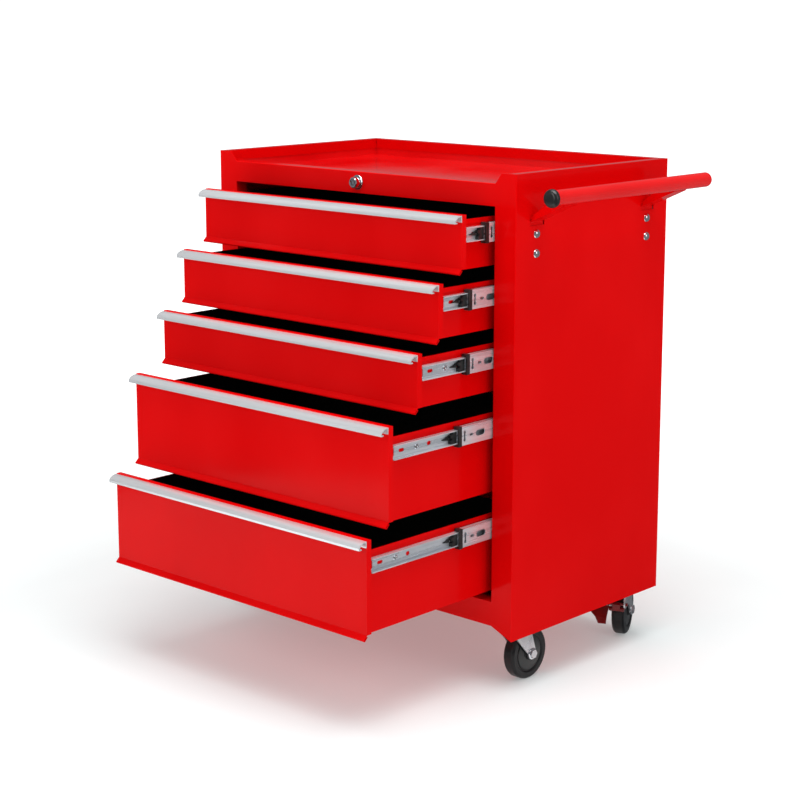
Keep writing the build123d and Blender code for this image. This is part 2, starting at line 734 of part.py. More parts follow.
def make_lock_bar():
    """Lift bar: a strip behind the drawers with a crosswise slot for the crank pin, and one hook
    for each drawer that rises in front of the drawer's turned-down catch."""
    start = radians(CRANK_START_DEG)
    pin_z = LOCK_Z + CRANK_R * sin(start)
    slot_h = 2 * CRANK_PIN_R + 1.2
    closed_catch_y = FRONT_Y + BOX_DEPTH + LATCH_OUT
    hook_y = closed_catch_y - SHEET - 4.0
    low = BAR_BOTTOM_Z
    with BuildPart() as bar:
        box_between((BAR_X - BAR_W / 2, BAR_Y, low), (BAR_X + BAR_W / 2, BAR_Y + BAR_T, pin_z + 6))
        with BuildSketch(plane_along(BAR_X, BAR_Y, pin_z)):
            SlotOverall(14, slot_h)
        extrude(amount=BAR_T, mode=Mode.SUBTRACT)
        for height in latch_heights():
            tip_z = height - 1.5
            arm_z = tip_z - BAR_HOOK_H
            box_between(
                (BAR_X - BAR_HOOK_W / 2, hook_y, arm_z),
                (BAR_X + BAR_HOOK_W / 2, BAR_Y, arm_z + BAR_T),
            )
            box_between(
                (BAR_X - BAR_HOOK_W / 2, hook_y, arm_z),
                (BAR_X + BAR_HOOK_W / 2, hook_y + BAR_T, tip_z),
            )
    write_piece(bar.part, "lock_lift_bar")

    with BuildPart() as guides:
        half = BAR_W / 2
        for z in BAR_GUIDE_ZS:
            for side in (-1, 1):
                leg = sorted((BAR_X + side * (half + 0.5), BAR_X + side * (half + 0.5 + PLATE)))
                box_between((leg[0], BAR_Y - 2, z - 6), (leg[1], HALF_D - SHEET, z + 6))
                lip = sorted((BAR_X + side * (half - 3), BAR_X + side * (half + 0.5 + PLATE)))
                box_between((lip[0], BAR_Y - 2, z - 6), (lip[1], BAR_Y - 0.5, z + 6))
                pad = sorted((BAR_X + side * (half - 3), BAR_X + side * (half + 0.5)))
                box_between((pad[0], BAR_Y + BAR_T + 0.5, z - 6), (pad[1], HALF_D - SHEET, z + 6))
    write_piece(guides.part, "lock_bar_guides")


# --- Casters ------------------------------------------------------------------------------------

def caster_bolt_points():
    """Centres of the sixteen caster bolts."""
    points = []
    for _, side_x, side_y, _ in CASTERS:
        for dx in (-CASTER_BOLT_X / 2, CASTER_BOLT_X / 2):
            for dy in (-CASTER_BOLT_Y / 2, CASTER_BOLT_Y / 2):
                points.append((side_x * CASTER_X + dx, side_y * CASTER_Y + dy))
    return points


def make_caster_plates():
    """Top plates, each with the upper race and kingpin that its fork turns on."""
    plate_low = FLOOR_PAN_Z - CASTER_PLATE_T
    race_low = CROWN_Z + FORK_T + 0.4
    with BuildPart() as plates:
        for _, side_x, side_y, _ in CASTERS:
            x, y = side_x * CASTER_X, side_y * CASTER_Y
            with BuildSketch(Plane.XY.offset(plate_low)):
                with Locations((x, y)):
                    RectangleRounded(CASTER_PLATE_X, CASTER_PLATE_Y, 5)
            extrude(amount=CASTER_PLATE_T)
            with BuildSketch(Plane.XY.offset(race_low)):
                with Locations((x, y)):
                    Circle(CROWN_R - 3)
            extrude(amount=plate_low - race_low, taper=-12)
            with BuildSketch(Plane.XY.offset(CROWN_Z - 3)):
                with Locations((x, y)):
                    Circle(KINGPIN_R)
            extrude(amount=race_low - CROWN_Z + 3)
            with BuildSketch(Plane.XY.offset(CROWN_Z - 3)):
                with Locations((x, y)):
                    Circle(KINGPIN_R + 2.5)
            extrude(amount=2.6)
        with BuildSketch(Plane.XY.offset(plate_low)):
            with Locations(*caster_bolt_points()):
                Circle(BOLT_HOLE_R)
        extrude(amount=CASTER_PLATE_T, mode=Mode.SUBTRACT)
    write_piece(plates.part, "caster_plates")


def make_caster_bolts():
    """Bolts through the plates and the floor pan: domed heads above, nuts below."""
    low = FLOOR_PAN_Z - CASTER_PLATE_T
    top = FLOOR_PAN_Z + SHEET
    with BuildPart() as bolts:
        for point in caster_bolt_points():
            with BuildSketch(Plane.XY.offset(low - 5)):
                with Locations(point):
                    Circle(BOLT_SHANK_R)
            extrude(amount=top - low + 5)
            with BuildSketch(Plane.XY.offset(low - 4)):
                with Locations(point):
                    RegularPolygon(radius=5.0, side_count=6)
            extrude(amount=4)
            with BuildSketch(Plane.XY.offset(top)):
                with Locations(point):
                    Circle(BOLT_HEAD_R - 1)
            extrude(amount=3, taper=25)
    write_piece(bolts.part, "caster_bolts")


def swivel_plane(side_x, side_y, turn):
    """The caster's own frame on the floor under its kingpin, turned with the wheel's trail."""
    x_dir = (cos(radians(turn)), sin(radians(turn)), 0)
    return Plane(origin=(side_x * CASTER_X, side_y * CASTER_Y, 0), x_dir=x_dir, z_dir=(0, 0, 1))


def fork(braked):
    """Pressed fork, made about the swivel axis with the wheel trailing towards +Y. A braked fork
    has ears in front that hold the pedal's pin."""
    leg_in = WHEEL_W / 2 + FORK_GAP
    leg_out = leg_in + FORK_T
    with BuildPart() as body:
        with BuildSketch(Plane.XY.offset(CROWN_Z)):
            Circle(CROWN_R)
            Circle(KINGPIN_R + 0.08, mode=Mode.SUBTRACT)
        extrude(amount=FORK_T)
        for side in (-1, 1):
            start = leg_in if side > 0 else -leg_out
            with BuildSketch(plane_across(start, 0, 0)):
                with BuildLine():
                    Polyline(
                        (-18, CROWN_Z + FORK_T / 2),
                        (20, CROWN_Z + FORK_T / 2),
                        (23, CROWN_Z - 8),
                        (TRAIL + 9, WHEEL_R),
                        (TRAIL - 9, WHEEL_R),
                        (-16, CROWN_Z - 12),
                        close=True,
                    )
                make_face()
                with Locations((TRAIL, WHEEL_R)):
                    Circle(9)
                if braked:
                    with BuildLine():
                        Polyline(
                            (-18, CROWN_Z + FORK_T / 2),
                            (PEDAL_PIN_Y - 6, PEDAL_PIN_Z + 1),
                            (PEDAL_PIN_Y + 3, PEDAL_PIN_Z - 6),
                            (4, PEDAL_PIN_Z - 5),
                            (4, CROWN_Z + FORK_T / 2),
                            close=True,
                        )
                    make_face()
                    with Locations((PEDAL_PIN_Y, PEDAL_PIN_Z)):
                        Circle(6)
            extrude(amount=FORK_T)
        with BuildSketch(plane_across(-leg_out, 0, 0)):
            with Locations((TRAIL, WHEEL_R)):
                Circle(AXLE_R)
            if braked:
                with Locations((PEDAL_PIN_Y, PEDAL_PIN_Z)):
                    Circle(PEDAL_PIN_R + 0.06)
        extrude(amount=2 * leg_out, mode=Mode.SUBTRACT)
    return body.part


def axle():
    """Axle bolt with a flat hexagon head, a nut and a sleeve end."""
    reach = WHEEL_W / 2 + FORK_GAP + FORK_T
    with BuildPart() as bolt:
        with BuildSketch(plane_across(-reach - 3, TRAIL, WHEEL_R)):
            Circle(AXLE_R)
        extrude(amount=2 * reach + 6)
        with BuildSketch(plane_across(reach, TRAIL, WHEEL_R)):
            RegularPolygon(radius=AXLE_HEAD_R, side_count=6)
        extrude(amount=3.6)
        with BuildSketch(plane_across(-reach - 4.2, TRAIL, WHEEL_R)):
            RegularPolygon(radius=AXLE_HEAD_R, side_count=6)
        extrude(amount=4.2)
    return bolt.part


def wheel():
    """Moulded wheel: rounded tread, dished side with a raised rim ring and hub."""
    half = WHEEL_W / 2
    bore = AXLE_R + 0.06
    hub_r = 10.0
    dish = 3.0
    with BuildPart() as body:
        section = Plane(origin=(0, TRAIL, WHEEL_R), x_dir=(1, 0, 0), z_dir=(0, -1, 0))
        with BuildSketch(section):
            with BuildLine():
                Polyline(
                    (-half, bore),
                    (-half, hub_r),
                    (-half + dish, hub_r + 1.5),
                    (-half + dish, WHEEL_R - 12),
                    (-half + 1, WHEEL_R - 10),
                    (-half + 1, WHEEL_R - 3.5),
                )
                TangentArc((-TREAD_HALF, WHEEL_R), (-half + 1, WHEEL_R - 3.5), tangent=(-1, 0))
                Line((-TREAD_HALF, WHEEL_R), (TREAD_HALF, WHEEL_R))
                TangentArc((TREAD_HALF, WHEEL_R), (half - 1, WHEEL_R - 3.5), tangent=(1, 0))
                Polyline(
                    (half - 1, WHEEL_R - 3.5),
                    (half - 1, WHEEL_R - 10),
                    (half - dish, WHEEL_R - 12),
                    (half - dish, hub_r + 1.5),
                    (half, hub_r),
                    (half, bore),
                    (-half, bore),
                )
            make_face()
        revolve(axis=Axis((0, TRAIL, WHEEL_R), (1, 0, 0)))
    return body.part


def brake_pedal():
    """Foot brake ahead of the wheel: a pin through the fork's ears, a shoe that swings towards the
    tread, and a tread plate carried out to one side on a cheek."""
    cheek_in = WHEEL_W / 2 + FORK_GAP + FORK_T + 0.5
    shoe_half = WHEEL_W / 2 + FORK_GAP - 0.5
    shoe = (PEDAL_PIN_Y + 2, PEDAL_PIN_Z - 9)
    plate_top = (PEDAL_PIN_Y - 8, PEDAL_PIN_Z - 2)
    plate_bend = (PEDAL_PIN_Y - 26, PEDAL_PIN_Z - 15)
    plate_tip = (PEDAL_PIN_Y - 31, PEDAL_PIN_Z - 24)
    with BuildPart() as pedal:
        with BuildSketch(plane_across(-cheek_in - PEDAL_T, PEDAL_PIN_Y, PEDAL_PIN_Z)):
            Circle(PEDAL_PIN_R)
        extrude(amount=2 * (cheek_in + PEDAL_T))
        with BuildSketch(plane_across(-shoe_half, *shoe)):
            Circle(3.5)
        extrude(amount=2 * shoe_half)
        # web that joins the shoe to the pin, between the fork's legs
        with BuildSketch(plane_across(-shoe_half / 2, 0, 0)):
            with BuildLine():
                Polyline(
                    (PEDAL_PIN_Y, PEDAL_PIN_Z + PEDAL_PIN_R),
                    (PEDAL_PIN_Y - 5, PEDAL_PIN_Z),
                    (PEDAL_PIN_Y - 1, PEDAL_PIN_Z - 11),
                    (PEDAL_PIN_Y + 3, PEDAL_PIN_Z - 9),
                    close=True,
                )
            make_face()
        extrude(amount=shoe_half)
        with BuildSketch(plane_across(-cheek_in - PEDAL_T, 0, 0)):
            with BuildLine():
                Polyline(
                    (PEDAL_PIN_Y + 5, PEDAL_PIN_Z - 2),
                    (PEDAL_PIN_Y + 2, PEDAL_PIN_Z + 5),
                    (PEDAL_PIN_Y - 8, PEDAL_PIN_Z + 1),
                    plate_bend,
                    (PEDAL_PIN_Y - 12, PEDAL_PIN_Z - 15),
                    close=True,
                )
            make_face()
        extrude(amount=PEDAL_T)
        with BuildSketch(plane_across(-PEDAL_REACH, 0, 0)):
            with BuildLine():
                FilletPolyline(plate_top, plate_bend, plate_tip, radius=4)
            trace(line_width=PEDAL_T)
        extrude(amount=PEDAL_REACH - PEDAL_INNER)
        # the plate's outer corner is cut back
        with BuildSketch(Plane.XY):
            with BuildLine():
                Polyline(
                    (-PEDAL_REACH - 1, plate_tip[0] - 3),
                    (-PEDAL_REACH - 1, PEDAL_CORNER_Y),
                    (-PEDAL_REACH, PEDAL_CORNER_Y),
                    (-PEDAL_REACH + 22, plate_tip[0] - 3),
                    close=True,
                )
            make_face()
        extrude(amount=PEDAL_PIN_Z, mode=Mode.SUBTRACT)
    return pedal.part


def make_casters():
    for name, side_x, side_y, turn in CASTERS:
        place = swivel_plane(side_x, side_y, turn).location
        fork_set = Compound([*fork(side_y > 0).moved(place).solids(), *axle().moved(place).solids()])
        write_piece(fork_set, f"caster_fork_{name}")
        write_piece(wheel().moved(place), f"caster_wheel_{name}")
        if side_y > 0:
            write_piece(brake_pedal().moved(place), f"brake_pedal_{name}")


# --- The whole cart -----------------------------------------------------------------------------

os.makedirs("parts", exist_ok=True)
make_side_panels()
make_back_panel()
make_floor_pan()
make_tray()
make_rails()
make_uprights()
make_outer_members()
for drawer in range(len(DRAWER_TOPS)):
    make_middle_members(drawer)
    make_inner_members(drawer)
    make_drawer_front(drawer)
    make_drawer_pull(drawer)
    make_drawer_box(drawer)
    make_drawer_mat(drawer)
make_handle()
make_brackets()
make_handle_bolts()
make_lock()
make_lock_bar()
make_caster_plates()
make_caster_bolts()
make_casters()
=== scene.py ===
import json
import math

import bmesh
import bpy
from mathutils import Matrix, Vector
from mathutils.bvhtree import BVHTree


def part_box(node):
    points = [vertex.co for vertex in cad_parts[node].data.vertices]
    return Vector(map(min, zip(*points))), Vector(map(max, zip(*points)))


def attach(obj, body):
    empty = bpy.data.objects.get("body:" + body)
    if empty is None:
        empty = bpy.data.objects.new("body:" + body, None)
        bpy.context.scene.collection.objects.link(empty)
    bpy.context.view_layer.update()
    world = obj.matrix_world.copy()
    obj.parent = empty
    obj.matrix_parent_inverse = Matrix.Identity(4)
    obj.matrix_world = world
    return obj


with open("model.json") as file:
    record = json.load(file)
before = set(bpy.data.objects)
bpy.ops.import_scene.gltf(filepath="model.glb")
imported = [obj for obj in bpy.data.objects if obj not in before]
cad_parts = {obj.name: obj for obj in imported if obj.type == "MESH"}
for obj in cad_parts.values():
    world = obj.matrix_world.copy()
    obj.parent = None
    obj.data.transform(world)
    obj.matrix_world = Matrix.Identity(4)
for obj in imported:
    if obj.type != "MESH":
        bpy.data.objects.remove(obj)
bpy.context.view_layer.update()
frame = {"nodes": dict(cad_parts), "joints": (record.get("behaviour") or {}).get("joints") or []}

MM = 0.001
DRAWERS = range(1, 6)
BOX_FLANGE = 14 * MM

# --- Camera, floor and light ---------------------------------------------------------------------

camera = bpy.data.objects.new("camera", bpy.data.cameras.new("camera"))
bpy.context.scene.collection.objects.link(camera)
bpy.context.scene.camera = camera
camera.data.lens = 83.52
camera.data.sensor_width = 36.0
camera.data.shift_y = -0.05
camera.data.clip_end = 200.0
view_target = Vector((-0.1130, 0.1266, 0.4223))
azimuth, elevation, distance = math.radians(42.9), math.radians(11.05), 3.011
back = Vector((
    math.sin(azimuth) * math.cos(elevation),
    -math.cos(azimuth) * math.cos(elevation),
    math.sin(elevation),
))
camera.location = view_target + back * distance
camera.rotation_mode = "QUATERNION"
camera.rotation_quaternion = (-back).to_track_quat("-Z", "Y")

bpy.context.scene.view_settings.view_transform = "Standard"


def link(name, mesh):
    obj = bpy.data.objects.new(name, mesh)
    bpy.context.scene.collection.objects.link(obj)
    return obj


def node(tree, kind, **settings):
    made = tree.nodes.new(kind)
    for key, value in settings.items():
        setattr(made, key, value)
    return made


world = bpy.data.worlds.new("studio")
bpy.context.scene.world = world
world.use_nodes = True
tree = world.node_tree
tree.nodes.clear()
soft = node(tree, "ShaderNodeBackground")
soft.inputs["Color"].default_value = (1.0, 1.0, 1.0, 1)
soft.inputs["Strength"].default_value = 0.5
dim = node(tree, "ShaderNodeBackground")
dim.inputs["Color"].default_value = (0.9, 0.95, 1.0, 1)
dim.inputs["Strength"].default_value = 0.2
paper = node(tree, "ShaderNodeBackground")
paper.inputs["Color"].default_value = (1.0, 1.0, 1.0, 1)
paper.inputs["Strength"].default_value = 1.1
path = node(tree, "ShaderNodeLightPath")
mix = node(tree, "ShaderNodeMixShader")
seen = node(tree, "ShaderNodeMixShader")
out = node(tree, "ShaderNodeOutputWorld")
tree.links.new(path.outputs["Is Glossy Ray"], mix.inputs[0])
tree.links.new(soft.outputs[0], mix.inputs[1])
tree.links.new(dim.outputs[0], mix.inputs[2])
tree.links.new(path.outputs["Is Camera Ray"], seen.inputs[0])
tree.links.new(mix.outputs[0], seen.inputs[1])
tree.links.new(paper.outputs[0], seen.inputs[2])
tree.links.new(seen.outputs[0], out.inputs[0])


def area_light(name, place, aim, size, power):
    data = bpy.data.lights.new(name, "AREA")
    data.shape = "RECTANGLE"
    data.size, data.size_y = size
    data.energy = power
    obj = link(name, data)
    obj.location = place
    obj.rotation_mode = "QUATERNION"
    obj.rotation_quaternion = (Vector(aim) - Vector(place)).to_track_quat("-Z", "Y")


area_light("key_above", (0.5, -0.3, 3.0), (0.0, 0.1, 0.4), (2.2, 2.2), 78.0)
area_light("front_strip", (-0.3, -3.0, 1.5), (0.0, 0.0, 0.4), (1.0, 2.0), 22.0)
area_light("side_strip", (3.0, -0.1, 1.5), (0.2, 0.2, 0.4), (1.0, 2.0), 12.0)


# --- Materials --------------------------------------------------------------------------------------

def coords(tree, scale):
    where = node(tree, "ShaderNodeTexCoord")
    place = node(tree, "ShaderNodeMapping")
    place.inputs["Scale"].default_value = scale
    tree.links.new(where.outputs["Object"], place.inputs["Vector"])
    return place.outputs["Vector"]


def noise(tree, scale, detail=3.0):
    made = node(tree, "ShaderNodeTexNoise")
    made.inputs["Scale"].default_value = 1.0
    made.inputs["Detail"].default_value = detail
    tree.links.new(coords(tree, scale), made.inputs["Vector"])
    return made.outputs["Fac"]


def ranged(tree, source, low, high, start=0.35, end=0.65):
    made = node(tree, "ShaderNodeMapRange")
    for name, value in (("From Min", start), ("From Max", end), ("To Min", low), ("To Max", high)):
        made.inputs[name].default_value = value
    tree.links.new(source, made.inputs["Value"])
    return made.outputs["Result"]


def colours(tree, source, low, high, start=0.35, end=0.65):
    ramp = node(tree, "ShaderNodeValToRGB")
    ramp.color_ramp.elements[0].position = start
    ramp.color_ramp.elements[0].color = (*low, 1)
    ramp.color_ramp.elements[1].position = end
    ramp.color_ramp.elements[1].color = (*high, 1)
    tree.links.new(source, ramp.inputs["Fac"])
    return ramp.outputs["Color"]


def surface(name, low, high, grain, rough, metal=0.0, fine=(900.0,) * 3, bump=0.1, depth=0.0002,
            specular=0.5):
    """A shader whose colour and roughness vary over the grain, with a finer relief."""
    made = bpy.data.materials.new(name)
    made.use_nodes = True
    tree = made.node_tree
    shader = tree.nodes["Principled BSDF"]
    shader.inputs["Metallic"].default_value = metal
    shader.inputs["Specular IOR Level"].default_value = specular
    broad = noise(tree, grain)
    tree.links.new(colours(tree, broad, low, high), shader.inputs["Base Color"])
    tree.links.new(ranged(tree, broad, *rough), shader.inputs["Roughness"])
    relief = node(tree, "ShaderNodeBump")
    relief.inputs["Strength"].default_value = bump
    relief.inputs["Distance"].default_value = depth
    tree.links.new(noise(tree, fine), relief.inputs["Height"])
    tree.links.new(relief.outputs["Normal"], shader.inputs["Normal"])
    return made


RED_LOW, RED_HIGH = (0.60, 0.0006, 0.001), (0.66, 0.0015, 0.002)
enamel = surface("red_enamel", RED_LOW, RED_HIGH, (5, 5, 3), (0.08, 0.14), fine=(420,) * 3, bump=0.06,
                 specular=0.07)
tube_enamel = surface("tube_enamel", RED_LOW, RED_HIGH, (8, 8, 8), (0.14, 0.22), fine=(420,) * 3, bump=0.1,
                      specular=0.7)
# painted light: the tray's enamel is a lighter copy of the red enamel, for the upward-facing tray that
# catches light from above
tray_enamel_painted_lit = surface("tray_enamel_painted_lit", (0.62, 0.001, 0.002), (0.68, 0.003, 0.004), (6, 6, 6), (0.10, 0.17),
                      fine=(420,) * 3, bump=0.1, specular=0.8)
zinc = surface("zinc_steel", (0.60, 0.63, 0.68), (0.82, 0.84, 0.88), (120, 4, 120), (0.20, 0.36), metal=0.6,
               fine=(1600, 30, 1600), bump=0.15)
caster_zinc = surface("caster_zinc", (0.52, 0.52, 0.55), (0.78, 0.76, 0.77), (40,) * 3, (0.22, 0.42),
                      metal=1.0, fine=(700,) * 3, bump=0.2)
chrome = surface("chrome", (0.72, 0.73, 0.76), (0.86, 0.87, 0.9), (90,) * 3, (0.05, 0.14), metal=1.0,
                 fine=(1200,) * 3, bump=0.05)
pull_metal = surface("aluminium_pull", (0.74, 0.75, 0.77), (0.84, 0.85, 0.87), (3, 160, 160), (0.16, 0.26),
                     metal=0.55, fine=(8, 1400, 1400), bump=0.06)
black_plastic = surface("black_plastic", (0.008,) * 3, (0.022,) * 3, (60,) * 3, (0.28, 0.44),
                        fine=(1500,) * 3, bump=0.2)
mat_rubber = surface("rubber_mat", (0.006,) * 3, (0.016,) * 3, (30,) * 3, (0.6, 0.8), fine=(4, 500, 500),
                     bump=0.6, depth=0.0006)
wheel_plastic = surface("wheel_black", (0.004, 0.0035, 0.004), (0.014, 0.012, 0.013), (45,) * 3, (0.3, 0.5),
                        fine=(600,) * 3, bump=0.3, specular=0.3)
# the pedal's darkness is painted shade under the cart, and its red is partly a painted reflection of the red
# body
pedal_paint = surface("pedal_paint", (0.12, 0.001, 0.001), (0.2, 0.003, 0.003), (70,) * 3, (0.3, 0.5),
                      fine=(800,) * 3, bump=0.3)
# painted light: the floor's slight cyan tint cancels the red light that bounces onto it from the cart
floor_paper = surface("floor_paper", (0.65, 0.70, 0.70), (0.68, 0.73, 0.73), (2, 2, 2), (0.75, 0.9),
                      fine=(300,) * 3, bump=0.05, specular=0.1)
# painted light: the floor glows, weakly near the cart and up to full strength further out, so it reads darker
# around the cart and white far off
floor_shader = floor_paper.node_tree.nodes["Principled BSDF"]
floor_shader.inputs["Emission Color"].default_value = (1, 1, 1, 1)
floor_place = node(floor_paper.node_tree, "ShaderNodeTexCoord")
floor_reach = node(floor_paper.node_tree, "ShaderNodeVectorMath", operation="LENGTH")
floor_paper.node_tree.links.new(floor_place.outputs["Object"], floor_reach.inputs[0])
floor_paper.node_tree.links.new(
    ranged(floor_paper.node_tree, floor_reach.outputs["Value"], 0.24, 1.0, 0.7, 2.6),
    floor_shader.inputs["Emission Strength"],
)


def enamel_with_painted_inner_shade(name, centre):
    """Enamel outside, and near-black on the faces that look at the drawer's middle: partly a dark lining,
    partly painted shade inside the drawer.
    """
    made = enamel.copy()
    made.name = name
    tree = made.node_tree
    shader = tree.nodes["Principled BSDF"]
    geometry = node(tree, "ShaderNodeNewGeometry")
    away = node(tree, "ShaderNodeVectorMath", operation="SUBTRACT")
    where = node(tree, "ShaderNodeTexCoord")
    away.inputs[0].default_value = centre
    tree.links.new(where.outputs["Object"], away.inputs[1])
    facing = node(tree, "ShaderNodeVectorMath", operation="DOT_PRODUCT")
    tree.links.new(geometry.outputs["True Normal"], facing.inputs[0])
    tree.links.new(away.outputs[0], facing.inputs[1])
    inside = node(tree, "ShaderNodeMath", operation="GREATER_THAN")
    inside.inputs[1].default_value = 0.0
    tree.links.new(facing.outputs["Value"], inside.inputs[0])
    # painted shade: near-black colour on the inner faces, partly a dark lining and partly the shade that
    # fills the drawer
    inner_shade_grain = noise(tree, (240,) * 3)
    inner_shade_colour = colours(tree, inner_shade_grain, (0.004,) * 3, (0.012,) * 3)
    for socket, inner in (("Base Color", inner_shade_colour), ("Roughness", ranged(tree, inner_shade_grain, 0.7, 0.9))):
        outer = shader.inputs[socket].links[0].from_socket
        kind = "RGBA" if socket == "Base Color" else "FLOAT"
        blend = node(tree, "ShaderNodeMix", data_type=kind)
        # the mix node keeps its own pair of inputs and its own output for each kind of data
        first, second, result = (6, 7, 2) if kind == "RGBA" else (2, 3, 0)
        tree.links.new(inside.outputs[0], blend.inputs[0])
        tree.links.new(outer, blend.inputs[first])
        tree.links.new(inner, blend.inputs[second])
        tree.links.new(blend.outputs[result], shader.inputs[socket])
    return made


def paint(names, made):
    for name in names:
        mesh = frame["nodes"][name].data
        mesh.materials.clear()
        mesh.materials.append(made)


nodes = frame["nodes"]
paint([n for n in nodes if n.startswith(("side_panel", "back_panel", "floor_pan", "front_", "drawer_front"))],
      enamel)
paint(["top_tray"], tray_enamel_painted_lit)
paint(["handle_tube"], tube_enamel)
paint(["handle_brackets"], enamel)
paint([n for n in nodes if n.startswith("slide_")], zinc)
paint(["lock_tail_rod", "lock_lift_bar", "lock_bar_guides"], zinc)
paint(["handle_bolts", "lock_barrel", "lock_plug"], chrome)
paint([n for n in nodes if n.startswith("caster_fork")] + ["caster_plates", "caster_bolts"], caster_zinc)
paint([n for n in nodes if n.startswith("caster_wheel")], wheel_plastic)
paint([n for n in nodes if n.startswith("brake_pedal")], pedal_paint)
paint([n for n in nodes if n.startswith("drawer_pull")], pull_metal)
paint([n for n in nodes if n.startswith("drawer_mat")], mat_rubber)
paint(["handle_end_cap"], black_plastic)
for i in DRAWERS:
    low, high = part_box(f"drawer_box_{i}")
    middle_y = (low.y + high.y - BOX_FLANGE) / 2
    paint([f"drawer_box_{i}"], enamel_with_painted_inner_shade(f"enamel_with_painted_inner_shade_{i}", ((low.x + high.x) / 2, middle_y, high.z)))


# --- Mesh helpers -----------------------------------------------------------------------------------

def finish_piece(bm, name, made, body, bevel=0.0, smooth=False):
    if bevel:
        bmesh.ops.bevel(bm, geom=bm.edges[:], offset=bevel, segments=2, affect="EDGES", profile=0.6)
    bmesh.ops.recalc_face_normals(bm, faces=bm.faces[:])
    mesh = bpy.data.meshes.new(name)
    bm.to_mesh(mesh)
    bm.free()
    for face in mesh.polygons:
        face.use_smooth = smooth
    mesh.materials.append(made)
    obj = link(name, mesh)
    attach(obj, body)
    return obj


def prism(bm, outline, axis, start, end):
    """Adds a solid with the outline's corners in the plane across the axis, from start to end."""
    def corner(a, b, along):
        return {"X": (along, a, b), "Y": (a, along, b), "Z": (a, b, along)}[axis]

    rings = [[bm.verts.new(corner(a, b, along)) for a, b in outline] for along in (start, end)]
    bm.faces.new(rings[0])
    bm.faces.new(list(reversed(rings[1])))
    count = len(outline)
    for k in range(count):
        bm.faces.new((rings[0][k], rings[0][(k + 1) % count], rings[1][(k + 1) % count], rings[1][k]))


def lathe(bm, centre, axis, profile, steps=40):
    """Adds a surface of revolution: the profile lists (distance along the axis, radius)."""
    axis = Vector(axis).normalized()
    side = axis.orthogonal().normalized()
    other = axis.cross(side)
    rings = []
    for along, radius in profile:
        ring = []
        for k in range(steps):
            turn = 2 * math.pi * k / steps
            spoke = side * math.cos(turn) + other * math.sin(turn)
            ring.append(bm.verts.new(Vector(centre) + axis * along + spoke * radius))
        rings.append(ring)
    for a, b in zip(rings, rings[1:]):
        for k in range(steps):
            bm.faces.new((a[k], a[(k + 1) % steps], b[(k + 1) % steps], b[k]))
    bm.faces.new(list(reversed(rings[0])))
    bm.faces.new(rings[-1])


# --- Floor ------------------------------------------------------------------------------------------

def floor_piece(name, centres, radii, steps=96):
    """A disc, or a ring between two circles, each with its own centre."""
    bm = bmesh.new()
    loops = []
    turns = [2 * math.pi * k / steps for k in range(steps)]
    for (x, y), radius in zip(centres, radii):
        loops.append([
            bm.verts.new((x + radius * math.cos(turn), y + radius * math.sin(turn), 0)) for turn in turns
        ])
    if len(loops) == 1:
        bm.faces.new(loops[0])
    for inner, outer in zip(loops, loops[1:]):
        for k in range(steps):
            bm.faces.new((inner[k], outer[k], outer[(k + 1) % steps], inner[(k + 1) % steps]))
    bmesh.ops.recalc_face_normals(bm, faces=bm.faces[:])
    mesh = bpy.data.meshes.new(name)
    bm.to_mesh(mesh)
    bm.free()
    mesh.materials.append(floor_paper)
    obj = link(name, mesh)
    return obj


# The far ring isn't mirrored in the enamel
NEAR_CENTRE, NEAR_RADIUS, FAR_RADIUS = (-0.3, -0.45), 0.9, 80.0
floor_piece("floor_near", (NEAR_CENTRE,), (NEAR_RADIUS,))
far = floor_piece("floor_far", (NEAR_CENTRE, (0, 0)), (NEAR_RADIUS, FAR_RADIUS))
far.visible_glossy = False


# --- Slide details ------------------------------------------------------------------------------------

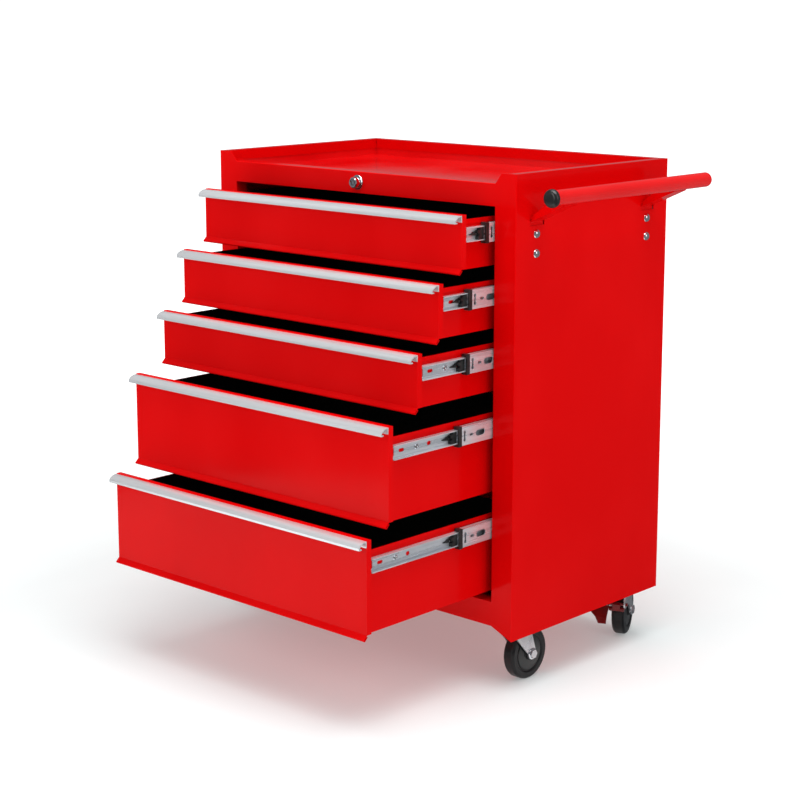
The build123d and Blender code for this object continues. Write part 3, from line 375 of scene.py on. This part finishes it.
INNER_FLANGE = 8.2 * MM
SCREW_PLACES = (52 * MM, 205 * MM)
RIVET_PLACES = (70 * MM, 150 * MM)
COLLAR_HALF, COLLAR_INNER_HALF = 14.7 * MM, 10.9 * MM
COLLAR_OVERHANG, COLLAR_DEPTH = 1.4 * MM, 5.6 * MM
def slide_pieces(index):
    """Stop block with its release lever, end collar, screws and rivets, on both sides."""
    inner_low, inner_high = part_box(f"slide_inner_{index}")
    middle_low, middle_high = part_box(f"slide_middle_{index}")
    centre_x = (inner_low.x + inner_high.x) / 2
    web = inner_high.x - centre_x - INNER_FLANGE
    z = (inner_low.z + inner_high.z) / 2
    start = inner_low.y
    front = middle_low.y
    for tag, side in (("left", -1), ("right", 1)):
        def x(depth):
            return centre_x + side * (web + depth * MM)

        def outline_yz(points, origin):
            return [(origin + a * MM, z + b * MM) for a, b in points]

        stop = bmesh.new()
        block = outline_yz([
            (-13, -8.4), (-1.6, -8.4), (-1.6, 8.4), (-9, 8.4), (-9, 5),
            (-14.5, 4), (-14.5, 0.5), (-10.5, 0.5), (-10.5, -3), (-13, -4),
        ], front)
        prism(stop, block, "X", x(1.3), x(7.4))
        finish_piece(stop, f"slide_stop_{index}_{tag}", black_plastic, f"drawer_{index}",
                     0.25 * MM)

        lever = bmesh.new()
        hook = outline_yz([
            (-27, -1.6), (-14, -3.2), (-14, 3.4), (-18, 2.6), (-21, 0.4), (-27, -0.4),
        ], front)
        prism(lever, hook, "X", x(1.3), x(3.4))
        finish_piece(lever, f"slide_lever_{index}_{tag}", black_plastic, f"drawer_{index}",
                     0.2 * MM)

        collar = bmesh.new()
        open_side, inner_face, outer_face = x(1.7), x(9.5), x(11.2)
        half, inner_half = COLLAR_HALF, COLLAR_INNER_HALF
        section = [
            (open_side, z - half), (outer_face, z - half), (outer_face, z + half), (open_side, z + half),
            (open_side, z + inner_half), (inner_face, z + inner_half),
            (inner_face, z - inner_half), (open_side, z - inner_half),
        ]
        prism(collar, section, "Y", front - COLLAR_OVERHANG, front + COLLAR_DEPTH)
        finish_piece(collar, f"slide_collar_{index}_{tag}", black_plastic, f"middle_slides_{index}",
                     0.3 * MM)

        screws = bmesh.new()
        for along in SCREW_PLACES:
            lathe(screws, (x(1.2), start + along, z), (side, 0, 0),
                  [(0, 4.2 * MM), (0.5 * MM, 4.2 * MM), (1.3 * MM, 3.4 * MM), (1.7 * MM, 2.0 * MM),
                   (1.1 * MM, 1.6 * MM), (0.9 * MM, 0.4 * MM)], 28)
        finish_piece(screws, f"slide_screws_{index}_{tag}", chrome, f"drawer_{index}", smooth=True)

        rivets = bmesh.new()
        for along in RIVET_PLACES:
            lathe(rivets, (x(9.4), front + along, z), (-side, 0, 0),
                  [(0, 3.4 * MM), (0.5 * MM, 3.3 * MM), (0.9 * MM, 2.2 * MM), (1.0 * MM, 0.5 * MM)], 24)
        finish_piece(rivets, f"slide_rivets_{index}_{tag}", zinc, f"middle_slides_{index}",
                     smooth=True)


# --- Pull ribs ------------------------------------------------------------------------------------------

RIB_ANGLES = (24, 36, 48, 60, 72)
RIB_OUTLINE = ((-0.6, -0.2), (-0.5, 0.02), (-0.2, 0.12), (0.2, 0.12), (0.5, 0.02), (0.6, -0.2))
RIB_END_GAP = 0.2 * MM
RAY_START = 60 * MM


def pull_ribs(index):
    """Fine ribs run along the grip, seated on the pull's own outer surface."""
    pull = nodes[f"drawer_pull_{index}"]
    low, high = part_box(f"drawer_pull_{index}")
    tree = BVHTree.FromObject(pull, bpy.context.evaluated_depsgraph_get())
    hub = Vector(((low.x + high.x) / 2, high.y - 3 * MM, low.z + 1 * MM))
    bm = bmesh.new()
    for degrees in RIB_ANGLES:
        turn = math.radians(degrees)
        ray = Vector((0, -math.cos(turn), math.sin(turn)))
        hit, normal, _, _ = tree.ray_cast(hub + ray * RAY_START, -ray)
        if hit is None:
            continue
        if normal.dot(ray) < 0:
            normal = -normal
        along = Vector((1, 0, 0)).cross(normal).normalized()
        section = []
        for a, b in RIB_OUTLINE:
            point = hit + along * a * MM + normal * b * MM
            section.append((point.y, point.z))
        prism(bm, section, "X", low.x + RIB_END_GAP, high.x - RIB_END_GAP)
    finish_piece(bm, f"pull_ribs_{index}", pull_metal, f"drawer_{index}")


for i in DRAWERS:
    slide_pieces(i)
    pull_ribs(i)


# --- Lock and wheel details -----------------------------------------------------------------------------

DISC_SEAT, WASHER_SEAT = 8.0 * MM, 15.0 * MM

low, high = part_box("lock_barrel")
rail_low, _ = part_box("front_top_rail")
lock_centre = Vector(((low.x + high.x) / 2, rail_low.y, (low.z + high.z) / 2))
washer = bmesh.new()
lathe(washer, lock_centre, (0, -1, 0), [
    (0, 11.2 * MM), (0.6 * MM, 11.2 * MM), (1.3 * MM, 10.4 * MM), (1.6 * MM, 9.0 * MM),
    (1.6 * MM, 7.9 * MM),
])
finish_piece(washer, "lock_escutcheon", chrome, "cabinet", smooth=True)

for joint in frame["joints"]:
    if not joint["name"].startswith("roll_"):
        continue
    name = joint["name"].removeprefix("roll_")
    axis = Vector(joint["axis"])
    hub = Vector(joint["pos_m"])
    for tag, way in (("outer", 1), ("inner", -1)):
        cover = bmesh.new()
        lathe(cover, hub + axis * way * DISC_SEAT, axis * way, [
            (0, 26 * MM), (0.7 * MM, 26 * MM), (1.2 * MM, 25 * MM), (1.0 * MM, 18 * MM),
            (1.5 * MM, 16.5 * MM), (1.5 * MM, 12.5 * MM),
        ], 64)
        finish_piece(cover, f"wheel_disc_{name}_{tag}", black_plastic, f"wheel_{name}",
                     smooth=True)
    washer = bmesh.new()
    lathe(washer, hub + axis * WASHER_SEAT, axis,
          [(0, 8.8 * MM), (0.6 * MM, 8.8 * MM), (1.0 * MM, 8.2 * MM), (1.0 * MM, 6.0 * MM)], 48)
    finish_piece(washer, f"axle_washer_{name}", chrome, f"caster_{name}", smooth=True)
